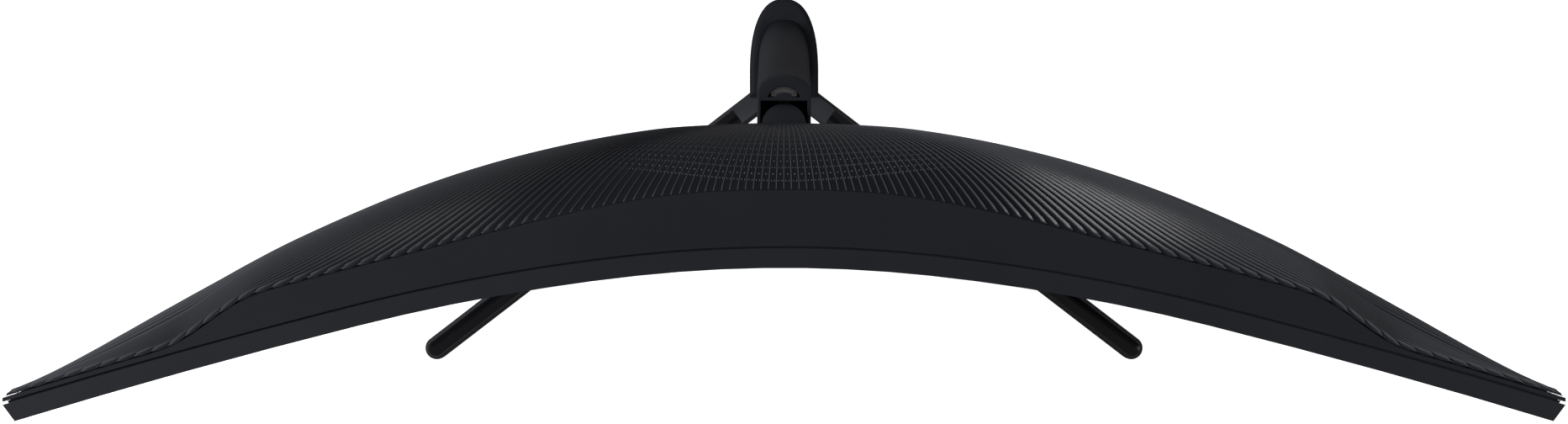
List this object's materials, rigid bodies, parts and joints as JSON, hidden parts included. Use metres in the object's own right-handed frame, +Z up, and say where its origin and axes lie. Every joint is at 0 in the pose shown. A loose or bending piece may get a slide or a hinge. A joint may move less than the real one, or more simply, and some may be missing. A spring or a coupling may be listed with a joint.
{
  "type": "computer monitor",
  "caption": "Wide curved desktop monitor with a ribbed domed back, on a tilting neck and a V-shaped stand, with a control stick under the screen",
  "frame": {"origin": "on the surface that the stand rests on, below the centre of the overall box", "axes": "+X to the right of somebody sitting in front of the screen, the screen faces -Y, +Z up"},
  "size_m": [0.8066, 0.27, 0.4758],
  "materials": {
    "frame_plastic": "fine satin grain",
    "cover_plastic": "satin, ribbed and dotted texture",
    "screen_glass": "anti-glare panel surface",
    "film_sheet": "white film",
    "guide_acrylic": "clear acrylic",
    "led_strip": "LED strip",
    "steel_sheet": "zinc-coated sheet steel",
    "circuit_board": "solder mask",
    "socket_metal": "tinned shell",
    "socket_plastic": "moulded",
    "screw_steel": "zinc plated",
    "hinge_steel": "machined",
    "stand_plastic": "satin",
    "bush_brass": "turned",
    "hub_metal": "black coated casting",
    "leg_metal": "satin black paint",
    "leg_gloss": "polished black",
    "pad_rubber": "matt",
    "stick_plastic": "satin",
    "light_lens": "clear lens"
  },
  "bodies": {
    "stand": {"base_hub": "hub_metal", "base_collar": "stand_plastic", "left_leg": "leg_metal", "right_leg": "leg_metal", "left_leg_inlay": "leg_gloss", "right_leg_inlay": "leg_gloss", "leg_screws": "screw_steel", "foot_pads": "pad_rubber", "neck_core": "hinge_steel", "neck_shell": "stand_plastic", "neck_front_cover": "stand_plastic", "neck_cap": "stand_plastic", "hinge_knuckle": "hinge_steel", "hinge_bush": "bush_brass"},
    "display": {"front_frame": "frame_plastic", "chin_bar": "frame_plastic", "lcd_panel": "screen_glass", "optical_films": "film_sheet", "light_guide": "guide_acrylic", "led_bar": "led_strip", "reflector_sheet": "film_sheet", "back_chassis": "steel_sheet", "rear_cover": "cover_plastic", "connector_tray": "cover_plastic", "hdmi_socket": "socket_metal", "display_socket": "socket_metal", "audio_jack": "socket_plastic", "power_jack": "socket_plastic", "main_board": "circuit_board", "board_chips": "socket_plastic", "board_posts": "screw_steel", "board_screws": "screw_steel", "timing_board": "circuit_board", "timing_posts": "screw_steel", "board_shield": "steel_sheet", "mount_plate": "steel_sheet", "mount_posts": "screw_steel", "cover_screws": "screw_steel", "tilt_bracket": "hinge_steel", "hinge_shaft": "hinge_steel", "hinge_nuts": "screw_steel", "friction_washers": "hinge_steel", "hinge_cover": "stand_plastic", "stick_housing": "socket_plastic", "stick_board": "circuit_board", "light_pipe": "light_lens"},
    "gimbal": {"gimbal_ring": "stick_plastic"},
    "rocker": {"stick_rocker": "stick_plastic"},
    "stick": {"control_stick": "stick_plastic"},
    "screw": {"base_screw": "hinge_steel"},
    "ring": {"screw_ring": "screw_steel"}
  },
  "joints": [
    {"name": "display_tilt", "type": "hinge", "parent": "stand", "child": "display", "pos_m": [0, 0.034, 0.29], "axis": [-1, 0, 0], "range_deg": [-2, 18]},
    {"name": "stick_side", "type": "hinge", "parent": "display", "child": "gimbal", "pos_m": [0, -0.0216, 0.119], "axis": [0, 1, 0], "range_deg": [-5, 5], "stiffness_Nm_per_rad": 0.08},
    {"name": "stick_fore", "type": "hinge", "parent": "gimbal", "child": "rocker", "pos_m": [0, -0.0216, 0.119], "axis": [1, 0, 0], "range_deg": [-5, 5], "stiffness_Nm_per_rad": 0.08},
    {"name": "stick_press", "type": "slide", "parent": "rocker", "child": "stick", "axis": [0, 0, 1], "range_m": [0, 0.0008], "stiffness_N_per_m": 600},
    {"name": "screw_turn", "type": "hinge", "parent": "stand", "child": "screw", "pos_m": [0, 0.098, 0.01], "axis": [0, 0, 1], "continuous": true},
    {"name": "ring_fold", "type": "hinge", "parent": "screw", "child": "ring", "pos_m": [0, 0.098, 0.0034], "axis": [-1, 0, 0], "range_deg": [0, 90]}
  ]
}
